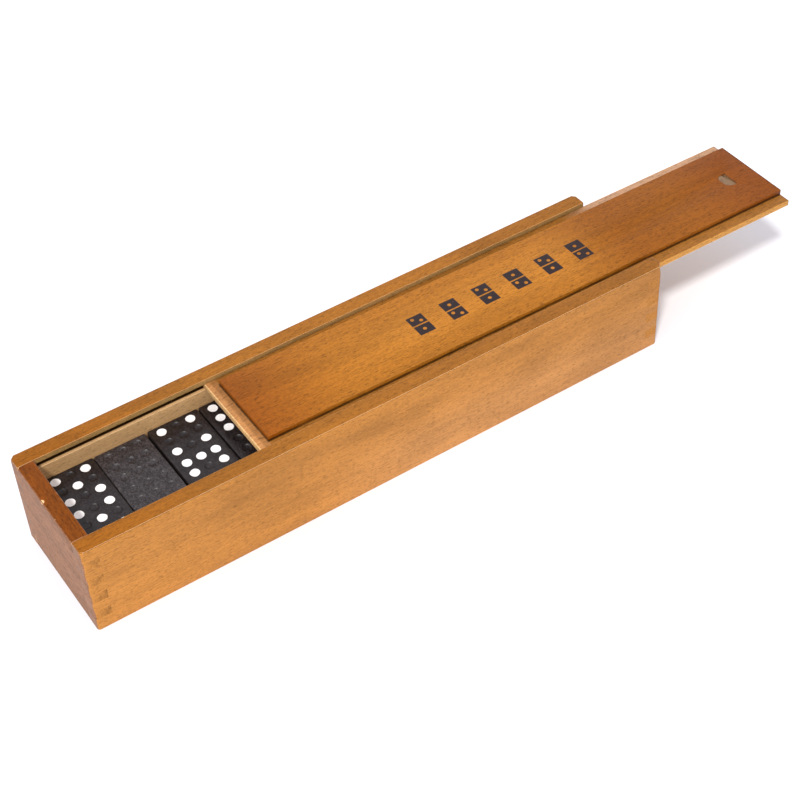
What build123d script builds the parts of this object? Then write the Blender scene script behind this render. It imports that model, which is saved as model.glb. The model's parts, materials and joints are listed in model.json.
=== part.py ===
from build123d import *
import os

os.makedirs("parts", exist_ok=True)

# A double-nine domino set of 55 tiles in its finger-jointed wooden box, with the sliding lid part
# way out. The origin is the centre of the box's underside. +X runs along the box to the end that
# the lid leaves by, +Y to the back wall, +Z up. All sizes are in millimetres.

# The box
box_length = 264.0
box_width = 58.4
box_height = 42.6
wall = 6.7
corner_radius = 1.2
board_thickness = 4.0
board_rebate = 2.5
inner_length = box_length - 2 * wall
inner_width = box_width - 2 * wall

# The finger joints: seven equal fingers between a longer one at the top and one at the bottom
finger = 4.4
equal_fingers = 7
end_finger = (box_height - equal_fingers * finger) / 2

# The slot that the lid slides in, under a lip along both long walls and in the near wall
lip = 2.3
slot_height = 2.7
slot_depth = 3.7
near_slot_depth = 2.0
slot_floor = box_height - lip - slot_height
slot_start = -inner_length / 2 - near_slot_depth

# The lid: a thin board with a raised panel, lying a little askew in its wide slot
panel_length = 253.0
panel_width = 37.5
panel_height = 2.4
tongue_thickness = 2.5
side_tongue = 5.3
near_tongue = 4.8
slide_clearance = 0.1
lid_turn = -0.5
lid_middle_x = 78.0
lid_middle_y = -0.8
nick_to_end = 11.5
nick_width = 8.5
nick_length = 5.5
nick_depth = 1.5

# The tiles: every face has the same eighteen dimples, nine to a half
tile_length = 39.8
tile_width = 21.9
tile_thickness = 5.3
tile_corner = 0.8
tile_edge = 0.4
dimple_radius = 2.0
dimple_depth = 0.5
dimple_pitch = 6.28
half_offset = 9.98
top_number = 9

# The stacks: gap on the near side of each, and gap to the back wall, from the near end on
layers = 5
layer_step = tile_thickness + 0.06
near_gaps = [0.2, 0.3, 0.9, 0.5] + [0.8] * 7
back_gaps = [0.2, 0.4, 0.4, 0.5, 0.9, 0.4, 0.7, 1.1, 0.5, 0.8, 0.6]
top_tiles = [(5, 5), (0, 0), (4, 8), (0, 6), (2, 9), (1, 3), (7, 7), (3, 6), (1, 8), (4, 4), (2, 5)]


def export_piece(solid, name):
    solid.label = name
    export_step(solid, f"parts/{name}.step")


def finger_heights():
    """The heights of the middles of the end walls' fingers: every other one of the equal fingers."""
    first = end_finger + finger / 2
    return [first + finger * i for i in range(0, equal_fingers, 2)]


def side_wall(side):
    """A long wall with its finger notches, lid slot and bottom rebate: side is -1 front, +1 back."""
    with BuildPart() as part:
        with BuildSketch(Plane.XY):
            RectangleRounded(box_length, box_width, corner_radius)
            Rectangle(box_length, inner_width, mode=Mode.SUBTRACT)
            with Locations((0, -side * box_width / 2)):
                Rectangle(box_length, box_width, mode=Mode.SUBTRACT)
        extrude(amount=box_height)
        with Locations(
            *[
                (end * (box_length - wall) / 2, side * box_width / 2, height)
                for end in (-1, 1)
                for height in finger_heights()
            ]
        ):
            Box(wall, 2 * wall, finger, mode=Mode.SUBTRACT)
        with BuildSketch(Plane.XY.offset(slot_floor)):
            with Locations((slot_start, 0)):
                Rectangle(box_length * 2, inner_width + 2 * slot_depth, align=(Align.MIN, Align.CENTER))
        extrude(amount=slot_height, mode=Mode.SUBTRACT)
        with BuildSketch(Plane.XY):
            Rectangle(inner_length + 2 * board_rebate, inner_width + 2 * board_rebate)
        extrude(amount=board_thickness, mode=Mode.SUBTRACT)
    return part.part


def end_wall(end, height):
    """A short wall with its fingers and bottom rebate: end is -1 near, +1 far."""
    with BuildPart() as part:
        with BuildSketch(Plane.XY):
            with Locations((end * (box_length - wall) / 2, 0)):
                Rectangle(wall, inner_width)
        extrude(amount=height)
        with BuildSketch(Plane.XY):
            Rectangle(inner_length + 2 * board_rebate, inner_width + 2 * board_rebate)
        extrude(amount=board_thickness, mode=Mode.SUBTRACT)
        for middle in finger_heights():
            with BuildSketch(Plane.XY.offset(middle - finger / 2)):
                RectangleRounded(box_length, box_width, corner_radius)
                Rectangle(inner_length, box_width, mode=Mode.SUBTRACT)
                with Locations((-end * box_length / 2, 0)):
                    Rectangle(box_length, box_width, mode=Mode.SUBTRACT)
            extrude(amount=finger)
        with BuildSketch(Plane.XY.offset(slot_floor)):
            with Locations((slot_start, 0)):
                Rectangle(box_length * 2, inner_width, align=(Align.MIN, Align.CENTER))
        extrude(amount=slot_height, mode=Mode.SUBTRACT)
    return part.part


export_piece(side_wall(-1), "front_wall")
export_piece(side_wall(1), "back_wall")
export_piece(end_wall(-1, box_height), "near_end_wall")
export_piece(end_wall(1, slot_floor), "far_end_wall")

# Bottom board, let into the rebates of the four walls
with BuildPart() as bottom_board:
    with BuildSketch(Plane.XY):
        Rectangle(inner_length + 2 * board_rebate, inner_width + 2 * board_rebate)
    extrude(amount=board_thickness)
export_piece(bottom_board.part, "bottom_board")

# Lid, on a plane at the underside of its tongue that is turned with it
lid_direction = Vector(1, 0, 0).rotate(Axis.Z, lid_turn)
lid_height = slot_floor + slide_clearance
lid_plane = Plane(origin=(lid_middle_x, lid_middle_y, lid_height), x_dir=lid_direction, z_dir=(0, 0, 1))
panel_plane = lid_plane.offset(tongue_thickness)
top_plane = lid_plane.offset(tongue_thickness + panel_height)
nick_edge = panel_length / 2 - nick_to_end
nick_bow = (nick_width**2 / 4 + nick_length**2) / (2 * nick_length)

# Thumb nick, a round-backed cut with a sloping floor that is deepest at its straight far edge
with BuildPart() as thumb_nick:
    with BuildSketch(top_plane.offset(-nick_depth)):
        with Locations((nick_edge - nick_length + nick_bow, 0)):
            Circle(nick_bow)
        with Locations((nick_edge, 0)):
            Rectangle(2 * nick_bow, 2 * nick_bow, align=(Align.MIN, Align.CENTER), mode=Mode.SUBTRACT)
    extrude(amount=2 * nick_depth)
    slope_origin = top_plane.from_local_coords((0, nick_width, 0))
    slope_plane = Plane(origin=slope_origin, x_dir=lid_direction, z_dir=-top_plane.y_dir)
    with BuildSketch(slope_plane):
        with BuildLine():
            Polyline(
                (nick_edge - nick_length, 0),
                (nick_edge, -nick_depth),
                (nick_edge, nick_depth),
                (nick_edge - nick_length, nick_depth),
                close=True,
            )
        make_face()
    extrude(amount=2 * nick_width, mode=Mode.INTERSECT)

with BuildPart() as lid:
    with BuildSketch(lid_plane):
        with Locations((-near_tongue / 2, 0)):
            Rectangle(panel_length + near_tongue, panel_width + 2 * side_tongue)
    extrude(amount=tongue_thickness)
    with BuildSketch(panel_plane):
        Rectangle(panel_length, panel_width)
    extrude(amount=panel_height)
    add(thumb_nick.part, mode=Mode.SUBTRACT)
export_piece(lid.part, "lid")

# One moulded tile, face up, with the middle of its underside at the origin
cup_radius = (dimple_radius**2 + dimple_depth**2) / (2 * dimple_depth)
cup_height = tile_thickness - dimple_depth + cup_radius
with BuildPart() as blank_tile:
    with BuildSketch(Plane.XY):
        RectangleRounded(tile_width, tile_length, tile_corner)
    extrude(amount=tile_thickness)
    fillet(blank_tile.faces().filter_by(Axis.Z).edges(), tile_edge)
    with Locations((0, -half_offset, cup_height), (0, half_offset, cup_height)):
        with GridLocations(dimple_pitch, dimple_pitch, 3, 3):
            Sphere(cup_radius, mode=Mode.SUBTRACT)

# The stacks, from the near end on
stack_places = []
stack_end = -inner_length / 2
for near_gap, back_gap in zip(near_gaps, back_gaps):
    middle_y = inner_width / 2 - back_gap - tile_length / 2
    stack_places.append((stack_end + near_gap + tile_width / 2, middle_y))
    stack_end += near_gap + tile_width


def placed_tile(stack, layer):
    """The blank tile set down in its stack: layer 0 lies on the bottom board."""
    x, y = stack_places[stack]
    height = board_thickness + layer_step * layer + layer_step - tile_thickness
    return blank_tile.part.moved(Location((x, y, height)))


# The 55 pairs of numbers: the known top row, then the rest in order, a layer at a time
pairs = [(low, high) for low in range(top_number + 1) for high in range(low, top_number + 1)]
lower_tiles = [pair for pair in pairs if pair not in top_tiles]
spots = [(stack, layer) for layer in reversed(range(layers - 1)) for stack in range(len(top_tiles))]
tiles = [(pair, stack, layers - 1) for stack, pair in enumerate(top_tiles)]
tiles += [(pair, stack, layer) for pair, (stack, layer) in zip(lower_tiles, spots)]

for (low, high), stack, layer in tiles[:-2]:
    export_piece(placed_tile(stack, layer), f"tile_{low}_{high}")

# The last two tiles lie at the bottom of the far stacks and share a node
last_tiles = Compound(children=[placed_tile(stack, layer) for pair, stack, layer in tiles[-2:]])
last_names = [f"{low}_{high}" for (low, high), stack, layer in tiles[-2:]]
export_piece(last_tiles, "tiles_" + "_and_".join(last_names))
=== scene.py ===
import json
import math

import bmesh
import bpy
from mathutils import Matrix, Vector


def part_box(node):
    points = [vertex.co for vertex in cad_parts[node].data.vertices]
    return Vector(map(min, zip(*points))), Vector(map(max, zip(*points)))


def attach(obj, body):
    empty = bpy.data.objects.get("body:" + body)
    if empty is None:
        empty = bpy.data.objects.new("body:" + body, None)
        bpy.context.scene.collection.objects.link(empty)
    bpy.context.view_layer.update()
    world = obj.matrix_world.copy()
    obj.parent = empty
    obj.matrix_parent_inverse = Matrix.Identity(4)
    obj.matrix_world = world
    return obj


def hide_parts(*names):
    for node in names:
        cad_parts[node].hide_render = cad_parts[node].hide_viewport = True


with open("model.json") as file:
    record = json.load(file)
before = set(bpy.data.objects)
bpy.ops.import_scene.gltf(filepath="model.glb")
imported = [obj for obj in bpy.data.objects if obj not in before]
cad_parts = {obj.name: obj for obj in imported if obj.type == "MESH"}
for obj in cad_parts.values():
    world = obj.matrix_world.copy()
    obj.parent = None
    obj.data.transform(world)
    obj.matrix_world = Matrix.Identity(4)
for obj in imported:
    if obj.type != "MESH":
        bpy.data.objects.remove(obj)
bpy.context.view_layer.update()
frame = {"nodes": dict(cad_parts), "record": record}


# ---------------------------------------------------------------------------------------------
# The long walls: flat-sawn beech, varnished outside and bare inside, with the lid's slot planed
# into the inner face. The varnish is worn off every arris, where the paler wood shows. The slot's
# lower edges and the rim's edges also get a painted highlight, and the slot's floor a painted shade.
# ---------------------------------------------------------------------------------------------
MM = 0.001
nodes = frame["nodes"]
body_of_node = {node: body for body, held in frame["record"]["behaviour"]["bodies"].items() for node in held}


class Wire:
    """A socket in a node tree, used in sums as if it were a number."""

    def __init__(self, tree, socket=None):
        self.tree = tree
        self.socket = socket

    def add(self, kind, inputs=None, output=0, stops=None, **settings):
        """A new node: its settings first, then the values or wires of its sockets."""
        node = self.tree.nodes.new(kind)
        for name, value in settings.items():
            setattr(node, name, value)
        if stops:
            ramp = node.color_ramp.elements
            while len(ramp) < len(stops):
                ramp.new(0.5)
            for element, (position, colour) in zip(ramp, stops):
                element.position = position
                element.color = colour
        for name, value in (inputs or {}).items():
            if isinstance(value, Wire):
                self.tree.links.new(value.socket, node.inputs[name])
            else:
                node.inputs[name].default_value = value
        return Wire(self.tree, node.outputs[output])

    def maths(self, operation, a, b=0.0):
        return self.add("ShaderNodeMath", {0: a, 1: b}, operation=operation)

    def __add__(self, other):
        return self.maths("ADD", self, other)

    __radd__ = __add__

    def __sub__(self, other):
        return self.maths("SUBTRACT", self, other)

    def __rsub__(self, other):
        return self.maths("SUBTRACT", other, self)

    def __mul__(self, other):
        return self.maths("MULTIPLY", self, other)

    __rmul__ = __mul__

    def __truediv__(self, other):
        return self.maths("DIVIDE", self, other)

    def size(self):
        return self.maths("ABSOLUTE", self)

    def rise(self, low, high):
        """0 below low, 1 above high, and a smooth step between them; low may be the larger."""
        return self.add(
            "ShaderNodeMapRange",
            {"Value": self, "From Min": low, "From Max": high},
            interpolation_type="SMOOTHSTEP",
        )

    def most(self, other):
        return self.maths("MAXIMUM", self, other)

    def blend(self, colour_a, colour_b):
        """Colour a where this mask is 0, and colour b where it is 1."""
        return self.add("ShaderNodeMix", {0: self, 6: colour_a, 7: colour_b}, output=2, data_type="RGBA")

    def dimmed(self, amount):
        """This colour, darker where the amount is more."""
        return self.add("ShaderNodeVectorMath", {0: self, 3: 1 - amount}, operation="SCALE")


def rgb(red, green, blue):
    return (red, green, blue, 1.0)


def tones(red, green, blue, spread=0.17):
    """The pale and the dark of a piece of wood whose middle colour is given."""
    return [rgb(*(part * (1 + side * spread) for part in (red, green, blue))) for side in (1, -1)]


def new_material(name, turn=0.0):
    """A material, its wires, its shader, and the three coordinates in millimetres, turned about Z."""
    material = bpy.data.materials.new(name)
    material.use_nodes = True
    tree = material.node_tree
    shader = tree.nodes["Principled BSDF"]
    wires = Wire(tree)
    here = wires.add("ShaderNodeTexCoord", output=3)
    placed = wires.add("ShaderNodeMapping", {"Vector": here, "Rotation": (0, 0, turn), "Scale": (1000, 1000, 1000)})
    split = wires.add("ShaderNodeSeparateXYZ", {0: placed})
    x, y, z = (Wire(tree, socket) for socket in split.socket.node.outputs)
    return material, wires, shader, (x, y, z)


def streaks(wires, along, across, up, length, width, detail=3.0, seed=0.0):
    """Noise drawn out along the grain: about length by width millimetres."""
    where = wires.add("ShaderNodeCombineXYZ", {0: along / length, 1: across / width, 2: up / width + seed})
    return wires.add("ShaderNodeTexNoise", {"Vector": where, "Scale": 1.0, "Detail": detail, "Roughness": 0.6})


def wood(name, middle, grain="x", zones=None, extra=None, turn=0.0, gloss=0.5, fleck=0.3, seed=0.0):
    """Beech with its short dark flecks. zones(x, y, z) lists (mask, tones) laid over the middle
    tones, and extra(wires, colour, x, y, z) adds what is drawn or rubbed on."""
    material, wires, shader, (x, y, z) = new_material(name, turn)
    shader.inputs["Specular IOR Level"].default_value = 0.15
    along, across, up = {"x": (x, y, z), "y": (y, x, z), "z": (z, x, y)}[grain]
    broad = streaks(wires, along, across, up, 110.0, 14.0, 2.0, seed)
    bands = streaks(wires, along, across, up, 40.0, 2.4, 3.0, seed + 3.1)
    fine = streaks(wires, along, across, up, 5.0, 0.6, 4.0, seed + 7.7)
    grit = streaks(wires, along, across, up, 0.9, 0.5, 2.0, seed + 17.1)
    dashes = streaks(wires, along, across, up, 2.4, 0.55, 1.0, seed + 11.3)
    shade = (broad - 0.5) * 1.2 + (bands - 0.5) * 0.9 + (fine - 0.5) * 1.2 + (grit - 0.5) * 1.5 + 0.5
    pale, dark = middle
    for mask, (zone_pale, zone_dark) in zones(x, y, z) if zones else []:
        pale = mask.blend(pale, zone_pale)
        dark = mask.blend(dark, zone_dark)
    flecks = dashes.rise(0.54, 0.70)
    colour = shade.rise(0.1, 0.9).blend(dark, pale).dimmed(flecks * fleck)
    if extra:
        colour = extra(wires, colour, x, y, z)
    height = fine * 0.5 + grit * 0.3 - flecks * 0.5
    bump = wires.add("ShaderNodeBump", {"Strength": 0.3, "Distance": 0.0001, "Height": height})
    rough = gloss + (fine - 0.5) * 0.3 + flecks * 0.1
    tree = material.node_tree
    tree.links.new(colour.socket, shader.inputs["Base Color"])
    tree.links.new(rough.socket, shader.inputs["Roughness"])
    tree.links.new(bump.socket, shader.inputs["Normal"])
    return material


def worn_wood_and_highlight(name, bare, stained, seed=0.0, bareness=0.5, turn=0.0, bright=None):
    """An arris whose varnish is rubbed through in patches, and paler still where bright says: bare wood, partly with a
    painted highlight.
    """
    material, wires, shader, (x, y, z) = new_material(name, turn)
    shader.inputs["Specular IOR Level"].default_value = 0.2
    where = wires.add("ShaderNodeCombineXYZ", {0: x / 5.0 + seed, 1: y / 3.0, 2: z / 3.0})
    patches = wires.add("ShaderNodeTexNoise", {"Vector": where, "Scale": 1.0, "Detail": 5.0, "Roughness": 0.7})
    fine = streaks(wires, x, y, z, 1.6, 0.5, 3.0, seed)
    rubbed = patches.rise(0.56 - 0.25 * bareness, 0.80 - 0.25 * bareness) * (fine * 0.8 + 0.4)
    colour = rubbed.blend(stained, bare)
    # Paler where bright says: partly rubbed bare, partly a painted highlight.
    if bright:
        mask, bright_colour = bright(x, y, z)
        colour = (mask * (fine * 0.5 + 0.6)).blend(colour, bright_colour)
    tree = material.node_tree
    tree.links.new(colour.socket, shader.inputs["Base Color"])
    tree.links.new((0.45 + rubbed * 0.2).socket, shader.inputs["Roughness"])
    return material


def link_mesh(name, mesh):
    piece = bpy.data.objects.new(name, mesh)
    bpy.context.scene.collection.objects.link(piece)
    return piece


def knocked_off(shape, corner, depth):
    """Cuts a flat facet where a corner is worn; the corner's signs say which way it looks."""
    looks = Vector(corner).normalized()
    tip = Vector((math.copysign(half_length, corner[0]), math.copysign(half_width, corner[1]), rim)) * MM
    cut = bmesh.ops.bisect_plane(
        shape, geom=shape.verts[:] + shape.edges[:] + shape.faces[:], dist=0.005 * MM,
        plane_co=tip - looks * depth * MM, plane_no=looks, clear_outer=True,
    )
    rims = [part for part in cut["geom_cut"] if isinstance(part, bmesh.types.BMEdge)]
    if rims:
        bmesh.ops.edgenet_fill(shape, edges=rims)


def board(node, materials, arris, worn=(), glued=None, reshape=None):
    """A piece on the CAD node's shape, with its arrises rounded over in the second material. No
    arris is rounded where glued says that another piece meets it flush."""
    shape = bmesh.new()
    shape.from_mesh(nodes[node].data)
    bmesh.ops.remove_doubles(shape, verts=shape.verts, dist=0.01 * MM)
    bmesh.ops.dissolve_limit(shape, angle_limit=math.radians(1), verts=shape.verts, edges=shape.edges)
    if reshape:
        for vertex in shape.verts:
            vertex.co = reshape(vertex.co)
    for corner, depth in worn:
        knocked_off(shape, corner, depth)
    sharp = []
    for edge in shape.edges:
        middle = (edge.verts[0].co + edge.verts[1].co) / 2 / MM
        if edge.calc_face_angle(0) > math.radians(20) and not (glued and glued(middle)):
            sharp.append(edge)
    for face in shape.faces:
        face.smooth = True
        face.material_index = 0
    bmesh.ops.bevel(
        shape, geom=sharp, offset=arris * MM, segments=3, profile=0.5, affect="EDGES", clamp_overlap=True, material=1
    )
    mesh = bpy.data.meshes.new(node + "_board")
    shape.to_mesh(mesh)
    shape.free()
    for material in materials:
        mesh.materials.append(material)
    mesh.set_sharp_from_angle(angle=math.radians(28))
    return link_mesh(node + "_board", mesh)


def finish_piece(piece, node):
    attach(piece, body_of_node[node])
    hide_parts(node)


front_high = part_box("front_wall")[1]
back_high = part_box("back_wall")[1]
half_length = front_high.x / MM
half_width = back_high.y / MM
rim = front_high.z / MM
WALL = 6.7
inner_half = half_width - WALL
LIP, SLOT_BOTTOM = 2.3, 5.0
WALL_ARRIS = 0.3

varnished = tones(0.355, 0.132, 0.016)
face_wood = tones(0.535, 0.225, 0.046, 0.13)
bare_wood = tones(0.66, 0.40, 0.18, 0.13)
end_grain = tones(0.285, 0.142, 0.079, 0.22)

# The corners of the rim that have been knocked round, and how deep, in millimetres.
WORN_CORNERS = [((1, -1, 0.25), 1.3), ((-1, 1, 0.35), 1.1), ((-1, -1, 0.8), 0.9), ((1, 1, 0.8), 0.9)]


def flush_joint(middle):
    """Where the fingers meet on the outside of the box, and where the walls' ends are glued."""
    return abs(middle.x) > half_length - WALL - 0.1 and 5.0 < middle.z < 37.0


def rim_mask(z):
    return z.rise(rim - 0.5, rim - 0.2)


def end_mask(x, half):
    """The outermost skin, at half the box's length or width."""
    return x.size().rise(half - 0.4, half - 0.1)


def wall_zones(x, y, z):
    """The rim is varnished darker than the face, the inside is bare, and the ends show end grain."""
    top = rim_mask(z)
    inside = y.size().rise(half_width - 1.0, half_width - 1.6) * (1 - top)
    ends = end_mask(x, half_length)
    near = x.rise(-60.0, -130.0)
    lip = inside * z.rise(rim - LIP - 0.2, rim - LIP + 0.1)
    # Painted shade: a near-black band on the slot's floor, deep under the lip.
    slot_shade = y.size().rise(inner_half + 0.9, inner_half + 1.6) * z.rise(rim - LIP + 0.1, rim - LIP - 0.1)
    slot_shade = slot_shade * z.rise(rim - SLOT_BOTTOM - 0.2, rim - SLOT_BOTTOM) * y.size().rise(half_width - 1.2, half_width - 1.6)
    middle = x.rise(-50.0, 20.0) * z.rise(34.0, 8.0)
    return [
        (middle, tones(0.545, 0.25, 0.075, 0.13)),
        (inside, bare_wood),
        (lip, tones(0.42, 0.25, 0.085)),
        (slot_shade, tones(0.06, 0.024, 0.004)),
        (top, varnished),
        (top * near, tones(0.32, 0.105, 0.006)),
        (ends, end_grain),
    ]


def darkening_and_scuffs(wires, colour, x, y, z):
    """The face darkens a little towards the rim and the far end, in soft clouds, and is scuffed."""
    where = wires.add("ShaderNodeCombineXYZ", {0: x / 38.0, 1: y / 20.0, 2: z / 16.0})
    clouds = wires.add("ShaderNodeTexNoise", {"Vector": where, "Scale": 1.0, "Detail": 3.0})
    # Darker in soft clouds, towards the rim and towards the far end.
    darkening = clouds.rise(0.42, 0.72) * 0.16 + z.rise(2.0, 40.0) * 0.13 + x.rise(40.0, 132.0) * 0.12
    spots = streaks(wires, x, y, z, 2.6, 1.6, 1.0, 51.0).rise(0.73, 0.80)
    return colour.dimmed(darkening + spots * 0.25)


def lit_slot_and_rubbed_rims(x, y, z):
    """A painted highlight on the slot's lower edges, where the lid's tongue runs, and on the rim's inner and outer
    edges, which are also rubbed pale.
    """
    inner = y.size().rise(inner_half + 1.2, inner_half + 0.9)
    outer = y.size().rise(half_width - 0.5, half_width - 0.2) * rim_mask(z)
    inner = inner * z.rise(rim - 3.5, rim - 4.5).most(z.rise(rim - 0.6, rim - 0.4) * 0.5)
    return inner.most(outer * 0.85), rgb(0.98, 0.70, 0.40)


# The walls' arrises: rubbed through in patches, with a painted highlight on the slot's lower edges and the rim's edges.
worn_and_lit_edge = worn_wood_and_highlight("worn_and_lit_arris", rgb(0.72, 0.40, 0.15), rgb(0.38, 0.155, 0.03), bareness=0.55, bright=lit_slot_and_rubbed_rims)
for wall_node, seed in (("front_wall", 0.0), ("back_wall", 5.0)):
    wall_wood = wood(wall_node + "_beech", face_wood, zones=wall_zones, extra=darkening_and_scuffs, seed=seed)
    piece = board(wall_node, [wall_wood, worn_and_lit_edge], WALL_ARRIS, WORN_CORNERS, flush_joint)
    finish_piece(piece, wall_node)


# ---------------------------------------------------------------------------------------------
# The end walls: the same beech with the grain across the box. Their fingers end in the long
# walls' faces, where the end grain drinks the varnish and turns darker, as does the rim.
# ---------------------------------------------------------------------------------------------
# Chips along the near rim's outer edge: where across the box, and how large.
RIM_CHIPS = [(22.5, 0.9), (1.5, 1.2), (-9.0, 0.5), (14.0, 0.4)]


def end_zones(x, y, z):
    top = rim_mask(z)
    inside = x.size().rise(half_length - 1.0, half_length - 1.6) * (1 - top)
    fingers = end_mask(y, half_width)
    return [(inside, bare_wood), (top, tones(0.19, 0.047, 0.001)), (fingers, face_wood)]


def dark_fingers(wires, colour, x, y, z):
    """The fingers' ends, darkest at the inner side, and stains and a slit on the outer face."""
    ends = end_mask(y, half_width)
    inner = x.size().rise(half_length - 0.6, half_length - 6.0)
    blots = streaks(wires, x, y, z, 2.2, 2.2, 3.0, 61.0).rise(0.36, 0.62)
    near = x.rise(0.0, -1.0)
    stain = streaks(wires, y, x, z, 5.0, 1.2, 4.0, 67.0).rise(0.48, 0.64) * (1 - ends) * near
    slit = (z - (rim - 5.3)).size().rise(0.5, 0.25) * (y + 22.0).size().rise(2.9, 2.4) * near * (1 - ends)
    chips = None
    for chip_y, size in RIM_CHIPS:
        off_x, off_y, off_z = x + half_length, y - chip_y, z - rim
        chip = (off_x * off_x + off_y * off_y + off_z * off_z).rise(size * size, size * size * 0.5)
        chips = chip if chips is None else chips.most(chip)
    near_ends = ends * near * (0.06 + inner * blots * 0.36)
    far_ends = ends * (0.04 + (1 - near) * 0.18)
    colour = colour.dimmed(near_ends + far_ends + stain * 0.3 + slit * 0.55)
    return chips.blend(colour, rgb(0.85, 0.52, 0.24))


end_edge = worn_wood_and_highlight("end_arris", rgb(0.50, 0.27, 0.12), rgb(0.20, 0.075, 0.03), seed=2.0, bareness=0.25)
for wall_node, seed in (("near_end_wall", 1.0), ("far_end_wall", 9.0)):
    wall_wood = wood(wall_node + "_beech", end_grain, "y", end_zones, dark_fingers, seed=seed, gloss=0.6)
    piece = board(wall_node, [wall_wood, end_edge], WALL_ARRIS, WORN_CORNERS, flush_joint)
    finish_piece(piece, wall_node)


# ---------------------------------------------------------------------------------------------
# The bottom board: thin bare beech let into the four walls, seen from below and under the tiles.
# ---------------------------------------------------------------------------------------------
board_wood = wood("bottom_beech", bare_wood, seed=13.0, gloss=0.6)
finish_piece(board("bottom_board", [board_wood, end_edge], 0.2), "bottom_board")


# ---------------------------------------------------------------------------------------------
# The lid: a varnished board rebated to a thin tongue along three sides, a thumb nick cut near the
# far end, and a row of six little tiles stamped across its middle in black.
# ---------------------------------------------------------------------------------------------
LID_TURN = math.radians(-0.5)
lid_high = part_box("lid")[1]
lid_top = lid_high.z / MM
LID_MIDDLE = (78.0, -0.8)
PANEL_LENGTH, PANEL_WIDTH, PANEL_HEIGHT = 253.0, 37.5, 2.4
NICK_ALONG, NICK_WIDTH, NICK_LENGTH = PANEL_LENGTH / 2 - 11.5, 8.5, 5.5
NICK_DEPTH_KEPT = 0.55
STAMP_START, STAMP_PITCH, STAMP_COUNT = -45.5, 15.7, 6
STAMP_LENGTH, STAMP_WIDTH = 7.2, 11.4
STAMP_SPOTS = [((-1.5, 4.0), (1.5, 1.95), (0.0, -2.95)), ((0.0, 2.95), (-1.5, -1.95), (1.5, -4.0))]
lid_along, lid_across = Matrix.Rotation(-LID_TURN, 2) @ Vector(LID_MIDDLE)


def lid_zones(x, y, z):
    """The panel is redder at its two ends, and the tongue is paler, with a bare end at the near side."""
    along = x - lid_along
    across = y - lid_across
    near = along.rise(-PANEL_LENGTH / 2 + 50, -PANEL_LENGTH / 2 - 10)
    far = along.rise(PANEL_LENGTH / 2 - 110, PANEL_LENGTH / 2 - 70)
    very_far = along.rise(PANEL_LENGTH / 2 - 50, PANEL_LENGTH / 2)
    middle = across.size().rise(17.0, 4.0) * along.rise(-100.0, -40.0) * along.rise(70.0, 20.0)
    tongue = z.rise(lid_top - PANEL_HEIGHT + 0.4, lid_top - PANEL_HEIGHT + 0.1)
    tongue_near = tongue * along.rise(-PANEL_LENGTH / 2 + 0.2, -PANEL_LENGTH / 2)
    tongue_back = tongue * across.rise(PANEL_WIDTH / 2 + 0.2, PANEL_WIDTH / 2 + 0.6) * along.rise(40.0, 60.0)
    side = across.size().rise(PANEL_WIDTH / 2 + 5.0, PANEL_WIDTH / 2 + 5.2)
    rubbed = along.rise(-PANEL_LENGTH / 2 - 1.9, -PANEL_LENGTH / 2 - 3.1)
    sawn = along.rise(-PANEL_LENGTH / 2 - 4.2, -PANEL_LENGTH / 2 - 4.6)
    under = z.rise(lid_top - 4.5, lid_top - 4.8)
    nick = (along - (NICK_ALONG - NICK_LENGTH / 2)).size().rise(NICK_LENGTH / 2 + 0.1, NICK_LENGTH / 2 - 0.1)
    nick = nick * across.size().rise(NICK_WIDTH / 2 + 0.2, NICK_WIDTH / 2 - 0.1)
    nick = nick * z.rise(lid_top - 0.05, lid_top - 0.15)
    return [
        (near, tones(0.235, 0.062, 0.003)),
        (middle * 0.7, tones(0.41, 0.16, 0.02)),
        (far, tones(0.235, 0.072, 0.004)),
        (very_far, tones(0.185, 0.047, 0.002)),
        (nick, tones(0.20, 0.125, 0.07)),
        (tongue, tones(0.27, 0.108, 0.018)),
        (tongue_near, tones(0.32, 0.14, 0.042)),
        (tongue_back, tones(0.44, 0.25, 0.14)),
        (side, tones(0.52, 0.24, 0.045)),
        (rubbed, tones(0.46, 0.21, 0.07)),
        (sawn, tones(0.74, 0.46, 0.20)),
        (under, bare_wood),
    ]


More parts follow.
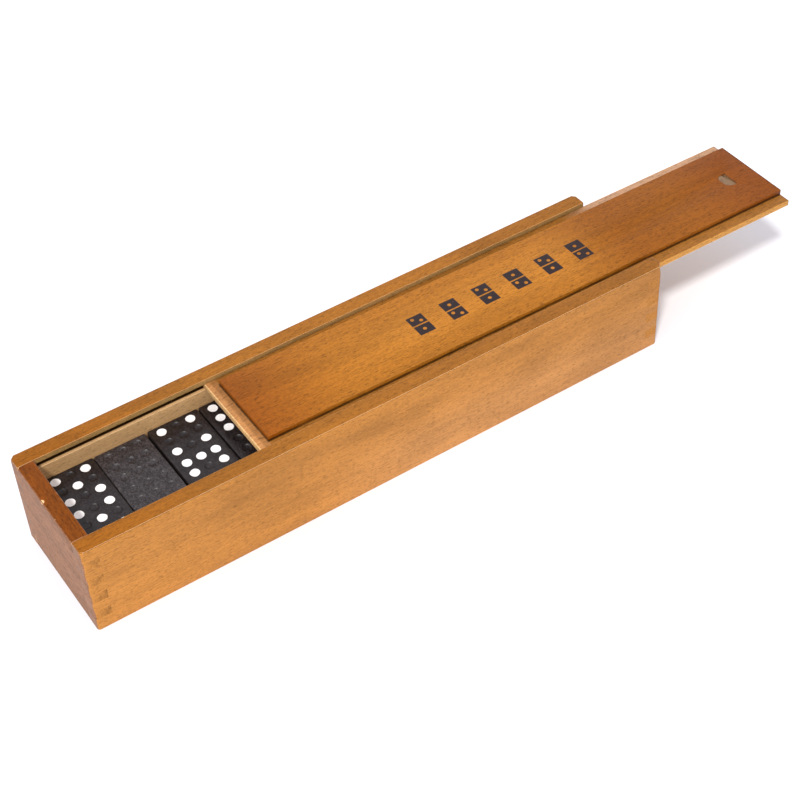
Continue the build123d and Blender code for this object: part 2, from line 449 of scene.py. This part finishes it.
def stamps_and_rebate_shade(wires, colour, x, y, z):
    """Painted shade, with some dirt, in the corner of the rebate, a darker line along the far edge, and six
    upright tile shapes with a bar and pale dots in slightly broken black ink."""
    along, across = x - lid_along, y - lid_across
    outside = (across.size() - PANEL_WIDTH / 2).most(along.size() - PANEL_LENGTH / 2)
    shade_and_dirt_patches = streaks(wires, x, y, z, 14.0, 3.0, 2.0, 41.0).rise(0.30, 0.50)
    # Painted shade, with some dirt, in the corner of the rebate, and a darker line along the far edge.
    corner = outside.rise(-0.12, 0.0) * outside.rise(0.5, 0.2) * z.rise(lid_top - 1.0, lid_top - 1.8)
    far_edge = along.rise(PANEL_LENGTH / 2 - 0.5, PANEL_LENGTH / 2 - 0.1)
    colour = colour.dimmed(corner * (shade_and_dirt_patches * 0.25 + 0.5) * (1 - far_edge) + far_edge * 0.55)
    ink = None
    for i in range(STAMP_COUNT):
        here = along - (STAMP_START + STAMP_PITCH * i)
        inside = here.size().rise(STAMP_LENGTH / 2 + 0.15, STAMP_LENGTH / 2 - 0.15)
        inside = inside * across.size().rise(STAMP_WIDTH / 2 + 0.15, STAMP_WIDTH / 2 - 0.15)
        gaps = across.size().rise(0.45, 0.2)
        for spot_x, spot_y in STAMP_SPOTS[i % 2]:
            offset_x, offset_y = here - spot_x, across - spot_y
            gaps = gaps.most((offset_x * offset_x + offset_y * offset_y).rise(0.8, 0.45))
        mark = inside * (1 - gaps)
        ink = mark if ink is None else ink.most(mark)
    wear = streaks(wires, x, y, z, 1.6, 0.7, 3.0, 31.0).rise(0.28, 0.42) * 0.12 + 0.87
    on_top = z.rise(lid_top - 0.6, lid_top - 0.3)
    return (ink * wear * on_top).blend(colour, rgb(0.022, 0.016, 0.019))


def shallower_nick(place):
    """The nick's floor, at a little over half of its depth."""
    turned = Matrix.Rotation(-LID_TURN, 2) @ Vector((place.x, place.y)) / MM - Vector((lid_along, lid_across))
    if NICK_ALONG - NICK_LENGTH - 0.1 < turned.x < NICK_ALONG + 0.1 and abs(turned.y) < NICK_WIDTH / 2 + 0.1:
        depth = lid_high.z - place.z
        if 0.01 * MM < depth < 1.6 * MM:
            return Vector((place.x, place.y, lid_high.z - depth * NICK_DEPTH_KEPT))
    return place


lid_wood = wood(
    "lid_beech", tones(0.36, 0.13, 0.012), zones=lid_zones, extra=stamps_and_rebate_shade, turn=-LID_TURN,
    gloss=0.45, fleck=0.34, seed=21.0,
)


def rubbed_and_lit_lid_edges(x, y, z):
    """The panel's back edge is rubbed pale all along; the tongue's front edge is rubbed pale with a painted highlight,
    and the panel's front arris gets a faint painted highlight.
    """
    across = y - lid_across
    back = across.rise(PANEL_WIDTH / 2 - 0.8, PANEL_WIDTH / 2 - 0.5)
    front = across.rise(-PANEL_WIDTH / 2 - 4.8, -PANEL_WIDTH / 2 - 5.0)
    # A faint painted highlight along the panel's front arris.
    edge = across.rise(-PANEL_WIDTH / 2 + 0.8, -PANEL_WIDTH / 2 + 0.5) * z.rise(lid_top - 0.8, lid_top - 0.4)
    return back.most(front * 0.7).most(edge * 0.4), rgb(0.86, 0.54, 0.24)


# The lid's arrises: rubbed through in patches, paler along the back and front edges, with some painted highlight.
lid_edge = worn_wood_and_highlight(
    "lid_arris", rgb(0.60, 0.30, 0.09), rgb(0.28, 0.095, 0.01), seed=4.0, bareness=0.55, turn=-LID_TURN,
    bright=rubbed_and_lit_lid_edges,
)
finish_piece(board("lid", [lid_wood, lid_edge], 0.25, reshape=shallower_nick), "lid")


# ---------------------------------------------------------------------------------------------
# The tiles: black moulded resin, all from one mould with nine dimples to each half. White paint
# fills the dimples that count, and the empty ones show faintly.
# ---------------------------------------------------------------------------------------------
TILE_WIDTH, TILE_LENGTH, TILE_THICKNESS = 21.9, 39.8, 5.3
TILE_CORNER, TILE_EDGE = 0.9, 0.42
DIMPLE_RADIUS, DIMPLE_DEPTH, DIMPLE_PITCH, HALF_OFFSET = 2.0, 0.5, 6.28, 9.98
PAINT_LEVEL = 0.35


def resin(name, dark, light, level):
    """Black moulded resin, matt with handling, with a fine uneven skin."""
    material, wires, shader, (x, y, z) = new_material(name)
    shader.inputs["Specular IOR Level"].default_value = 0.42
    where = wires.add("ShaderNodeCombineXYZ", {0: x, 1: y, 2: z})
    blotches = wires.add("ShaderNodeTexNoise", {"Vector": where, "Scale": 0.3, "Detail": 3.0})
    rubs = streaks(wires, x, y, z, 0.5, 1.6, 3.0, 5.0)
    grit = wires.add("ShaderNodeTexNoise", {"Vector": where, "Scale": 1.9, "Detail": 3.0, "Roughness": 0.7})
    shine = (blotches - 0.5) * 0.5 + (rubs - 0.5) * 0.9 + (grit - 0.5) * 2.2 + level
    colour = shine.rise(0.2, 0.9).blend(dark, light)
    height = grit + rubs * 0.8 + blotches * 0.6
    bump = wires.add("ShaderNodeBump", {"Strength": 0.28, "Distance": 0.00012, "Height": height})
    links = material.node_tree.links
    links.new(colour.socket, shader.inputs["Base Color"])
    links.new((0.30 + grit * 0.26).socket, shader.inputs["Roughness"])
    links.new(bump.socket, shader.inputs["Normal"])
    return material


def pip_white():
    """Thick white paint, a little uneven."""
    material, wires, shader, (x, y, z) = new_material("pip_paint")
    where = wires.add("ShaderNodeCombineXYZ", {0: x, 1: y, 2: z})
    mottle = wires.add("ShaderNodeTexNoise", {"Vector": where, "Scale": 1.1, "Detail": 3.0})
    colour = mottle.rise(0.3, 0.75).blend(rgb(0.84, 0.82, 0.81), rgb(0.93, 0.92, 0.91))
    bump = wires.add("ShaderNodeBump", {"Strength": 0.3, "Distance": 0.0001, "Height": mottle})
    links = material.node_tree.links
    links.new(colour.socket, shader.inputs["Base Color"])
    links.new((0.45 + mottle * 0.2).socket, shader.inputs["Roughness"])
    links.new(bump.socket, shader.inputs["Normal"])
    return material


tile_resin = resin("tile_resin", rgb(0.005, 0.003, 0.0035), rgb(0.030, 0.022, 0.022), 0.42)
rubbed_resin = resin("rubbed_resin", rgb(0.008, 0.006, 0.007), rgb(0.062, 0.052, 0.053), 0.50)
pip_paint = pip_white()


def new_tree(name, sizes):
    """A Geometry Nodes tree that takes a shape and the named sizes, and gives a shape."""
    tree = bpy.data.node_groups.new(name, "GeometryNodeTree")
    tree.interface.new_socket("Shape", in_out="INPUT", socket_type="NodeSocketGeometry")
    for size in sizes:
        tree.interface.new_socket(size, in_out="INPUT", socket_type="NodeSocketFloat")
    tree.interface.new_socket("Shape", in_out="OUTPUT", socket_type="NodeSocketGeometry")
    wires = Wire(tree)
    start = wires.add("NodeGroupInput").socket.node
    given = {socket.name: Wire(tree, socket) for socket in start.outputs if socket.name}
    return tree, wires, given


def run_tree(tree, mesh, values, name):
    """The tree's result on a mesh, as a plain mesh."""
    piece = link_mesh(name, mesh)
    modifier = piece.modifiers.new("Nodes", "NODES")
    modifier.node_group = tree
    for item in tree.interface.items_tree:
        if item.in_out == "INPUT" and item.name in values:
            modifier[item.identifier] = values[item.name]
    bpy.context.view_layer.update()
    made = piece.evaluated_get(bpy.context.evaluated_depsgraph_get())
    result = bpy.data.meshes.new_from_object(made)
    bpy.data.objects.remove(piece)
    return result


def dimple_places(wires, given):
    """Two blocks of three by three points, the front half's first and then the back half's."""
    blocks = []
    for side in (-1, 1):
        block = wires.add(
            "GeometryNodeMeshGrid",
            {"Size X": given["Pitch"] * 2, "Size Y": given["Pitch"] * 2, "Vertices X": 3, "Vertices Y": 3},
        )
        offset = wires.add("ShaderNodeCombineXYZ", {1: given["Half Offset"] * side, 2: given["Top"]})
        blocks.append(wires.add("GeometryNodeTransform", {"Geometry": block, "Translation": offset}))
    join = wires.add("GeometryNodeJoinGeometry").socket.node
    for block in reversed(blocks):
        wires.tree.links.new(block.socket, join.inputs[0])
    return Wire(wires.tree, join.outputs[0])


def close_tree(wires, shape, material, selection=None):
    """Ends a tree: instances made real, then the material."""
    real = wires.add("GeometryNodeRealizeInstances", {"Geometry": shape})
    inputs = {"Geometry": real, "Material": material}
    if selection:
        inputs["Selection"] = selection
    finished = wires.add("GeometryNodeSetMaterial", inputs)
    end = wires.tree.nodes.new("NodeGroupOutput")
    wires.tree.links.new(finished.socket, end.inputs[0])


def dimple_tree():
    """Cuts the eighteen shallow dimples out of a slab."""
    tree, wires, given = new_tree("cut_dimples", ["Pitch", "Half Offset", "Top", "Radius", "Depth"])
    ball = wires.add("GeometryNodeMeshUVSphere", {"Segments": 16, "Rings": 6, "Radius": 1.0})
    size = wires.add("ShaderNodeCombineXYZ", {0: given["Radius"], 1: given["Radius"], 2: given["Depth"]})
    balls = wires.add(
        "GeometryNodeInstanceOnPoints", {"Points": dimple_places(wires, given), "Instance": ball, "Scale": size}
    )
    cutters = wires.add("GeometryNodeRealizeInstances", {"Geometry": balls})
    cut = wires.add("GeometryNodeMeshBoolean", {0: given["Shape"], 1: cutters}, operation="DIFFERENCE", solver="EXACT")
    close_tree(wires, cut, tile_resin)
    return tree


def paint_tree():
    """Fills the counting dimples with paint: each half's nine dimples are the bits of a number."""
    sizes = ["Pitch", "Half Offset", "Top", "Radius", "Level", "Front Bits", "Back Bits", "Seed"]
    tree, wires, given = new_tree("paint_pips", sizes)
    places = dimple_places(wires, given)
    spot = wires.add("GeometryNodeInputPosition")
    nearest = wires.add("GeometryNodeSampleNearest", {"Geometry": places, "Sample Position": spot})
    index = nearest + 0
    back = index.rise(8.4, 8.6)
    bits = given["Front Bits"] + back * (given["Back Bits"] - given["Front Bits"])
    place_bit = index - back * 9
    shifted = wires.maths("FLOOR", bits / wires.maths("POWER", 2.0, place_bit) + 0.001)
    counts = wires.maths("MODULO", shifted, 2.0)
    centre = wires.add(
        "GeometryNodeSampleIndex", {"Geometry": places, "Value": spot, "Index": nearest}, data_type="FLOAT_VECTOR"
    )
    gap = wires.add("ShaderNodeVectorMath", {0: spot, 1: centre}, operation="SUBTRACT")
    parts = wires.add("ShaderNodeSeparateXYZ", {0: gap}).socket.node.outputs
    gap_x, gap_y, gap_z = (Wire(tree, socket) for socket in parts)
    reach = wires.maths("SQRT", gap_x * gap_x + gap_y * gap_y)
    in_cup = wires.maths("LESS_THAN", reach, given["Radius"] * 1.01)
    sunk = wires.maths("LESS_THAN", gap_z, -0.000002)
    wobble_at = wires.add("ShaderNodeVectorMath", {0: spot, 3: 420.0}, operation="SCALE")
    wobble_at = wires.add("ShaderNodeVectorMath", {0: wobble_at, 1: given["Seed"]}, operation="ADD")
    wobble = wires.add("ShaderNodeTexNoise", {"Vector": wobble_at, "Scale": 1.0, "Detail": 1.0}, output=1)
    push = wires.add("ShaderNodeVectorMath", {0: wobble, 1: (0.5, 0.5, 0.5)}, operation="SUBTRACT")
    push = wires.add("ShaderNodeVectorMath", {0: push, 1: (0.0005, 0.0005, 0.0)}, operation="MULTIPLY")
    filled = wires.add("ShaderNodeCombineXYZ", {2: gap_z * (given["Level"] - 1)})
    lift = wires.add("ShaderNodeVectorMath", {0: push, 1: filled}, operation="ADD")
    moved = wires.add(
        "GeometryNodeSetPosition", {"Geometry": given["Shape"], "Selection": in_cup * counts, "Offset": lift}
    )
    close_tree(wires, moved, pip_paint, in_cup * sunk * counts)
    return tree


# Which of a half's nine dimples count for each number; the bits run up each column in turn.
CORNERS, MIDDLE, SIDES, ENDS = 1 + 4 + 64 + 256, 16, 2 + 128, 8 + 32
PIP_BITS = [
    0, MIDDLE, 4 + 64, 4 + 64 + MIDDLE, CORNERS, CORNERS + MIDDLE, CORNERS + SIDES, CORNERS + SIDES + MIDDLE,
    CORNERS + SIDES + ENDS, CORNERS + SIDES + ENDS + MIDDLE,
]


def slab_mesh():
    """A tile with no dimples: a block with rounded corners and edges, its underside at zero."""
    shape = bmesh.new()
    bmesh.ops.create_cube(shape, size=1.0)
    bmesh.ops.scale(shape, vec=(TILE_WIDTH * MM, TILE_LENGTH * MM, TILE_THICKNESS * MM), verts=shape.verts)
    bmesh.ops.translate(shape, vec=(0, 0, TILE_THICKNESS * MM / 2), verts=shape.verts)
    upright = [e for e in shape.edges if abs(e.verts[0].co.z - e.verts[1].co.z) > MM]
    bmesh.ops.bevel(shape, geom=upright, offset=TILE_CORNER * MM, segments=5, profile=0.5, affect="EDGES")
    level = [e for e in shape.edges if e.calc_face_angle(0) > 1.0]
    bmesh.ops.bevel(shape, geom=level, offset=TILE_EDGE * MM, segments=3, profile=0.5, affect="EDGES")
    mesh = bpy.data.meshes.new("tile_slab")
    shape.to_mesh(mesh)
    shape.free()
    mesh.materials.append(tile_resin)
    return mesh


tile_sizes = {
    "Pitch": DIMPLE_PITCH * MM, "Half Offset": HALF_OFFSET * MM, "Top": TILE_THICKNESS * MM,
    "Radius": DIMPLE_RADIUS * MM, "Depth": DIMPLE_DEPTH * MM, "Level": PAINT_LEVEL,
}
blank = run_tree(dimple_tree(), slab_mesh(), tile_sizes, "blank_tile")
painter = paint_tree()

# Tiles that lie with their larger number at the back; the others have the smaller one there.
SEEN_HALVES = {"tile_0_6": (6, 0)}


def add_tile(node, piece_name, halves, low, high, seed):
    back, front = halves
    values = dict(tile_sizes)
    values.update({"Front Bits": float(PIP_BITS[front]), "Back Bits": float(PIP_BITS[back]), "Seed": seed})
    mesh = run_tree(painter, blank.copy(), values, piece_name)
    mesh.transform(Matrix.Translation(((low.x + high.x) / 2, (low.y + high.y) / 2, low.z)))
    mesh.shade_smooth()
    mesh.set_sharp_from_angle(angle=math.radians(35))
    if halves == (0, 0):
        mesh.materials[0] = rubbed_resin
    piece = link_mesh(piece_name, mesh)
    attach(piece, body_of_node[node])
    return piece


tile_nodes = sorted(node for node in nodes if node.startswith("tile_"))
for number, node in enumerate(tile_nodes):
    small, large = (int(digit) for digit in node.split("_")[1:])
    low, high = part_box(node)
    tile = add_tile(node, node + "_domino", SEEN_HALVES.get(node, (small, large)), low, high, float(number))
    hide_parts(node)

# The last two tiles share a CAD node, side by side along the box.
pair_node = next(node for node in nodes if node.startswith("tiles_"))
pair_low, pair_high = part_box(pair_node)
first, second = (tuple(int(digit) for digit in half.split("_")) for half in pair_node[6:].split("_and_"))
tile_x = Vector((TILE_WIDTH * MM, 0, 0))
tile_y = Vector((0, TILE_LENGTH * MM, 0))
tile_z = Vector((0, 0, TILE_THICKNESS * MM))
near_low = Vector((pair_low.x, pair_low.y, pair_low.z))
far_high = Vector((pair_high.x, pair_high.y, pair_high.z))
near_tile = add_tile(pair_node, "tile_8_9_domino", first, near_low, near_low + tile_x + tile_y, 60.0)
far_low = far_high - tile_x - tile_y - tile_z
far_tile = add_tile(pair_node, "tile_9_9_domino", second, far_low, far_high, 61.0)
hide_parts(pair_node)
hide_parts(pair_node)


# ---------------------------------------------------------------------------------------------
# The table, the light and the camera: a plain white sheet under soft light from the front left.
# ---------------------------------------------------------------------------------------------
floor_mesh = bpy.data.meshes.new("floor")
floor_shape = bmesh.new()
bmesh.ops.create_grid(floor_shape, x_segments=1, y_segments=1, size=6.0)
floor_shape.to_mesh(floor_mesh)
floor_shape.free()
floor = link_mesh("floor", floor_mesh)
floor_paper, _, paper_shader, _ = new_material("white_paper")
paper_shader.inputs["Base Color"].default_value = rgb(0.775, 0.785, 0.82)
paper_shader.inputs["Roughness"].default_value = 0.9
paper_shader.inputs["Specular IOR Level"].default_value = 0.1
floor.data.materials.append(floor_paper)

scene = bpy.context.scene
scene.view_settings.view_transform = "Standard"
world = bpy.data.worlds.new("studio")
scene.world = world
world.use_nodes = True
world.node_tree.nodes["Background"].inputs["Color"].default_value = rgb(0.99, 0.97, 1.02)
world.node_tree.nodes["Background"].inputs["Strength"].default_value = 0.93

KEY_FROM = Vector((-0.52, -0.47, 1.0))
key_light = bpy.data.lights.new("key", "SUN")
key_light.energy = 2.6
key_light.angle = math.radians(8)
key_light.color = (1.0, 0.98, 0.95)
key = bpy.data.objects.new("key", key_light)
key.rotation_mode = "QUATERNION"
key.rotation_quaternion = KEY_FROM.to_track_quat("Z", "Y")
scene.collection.objects.link(key)

camera_data = bpy.data.cameras.new("camera")
camera_data.lens = 78.57
camera_data.sensor_width = 36.0
camera = bpy.data.objects.new("camera", camera_data)
camera.location = (-0.24744, -0.43315, 0.50241)
camera.rotation_euler = (math.radians(45.771), math.radians(2.199), math.radians(-33.946))
camera_data.clip_start = 0.01
scene.collection.objects.link(camera)
scene.camera = camera
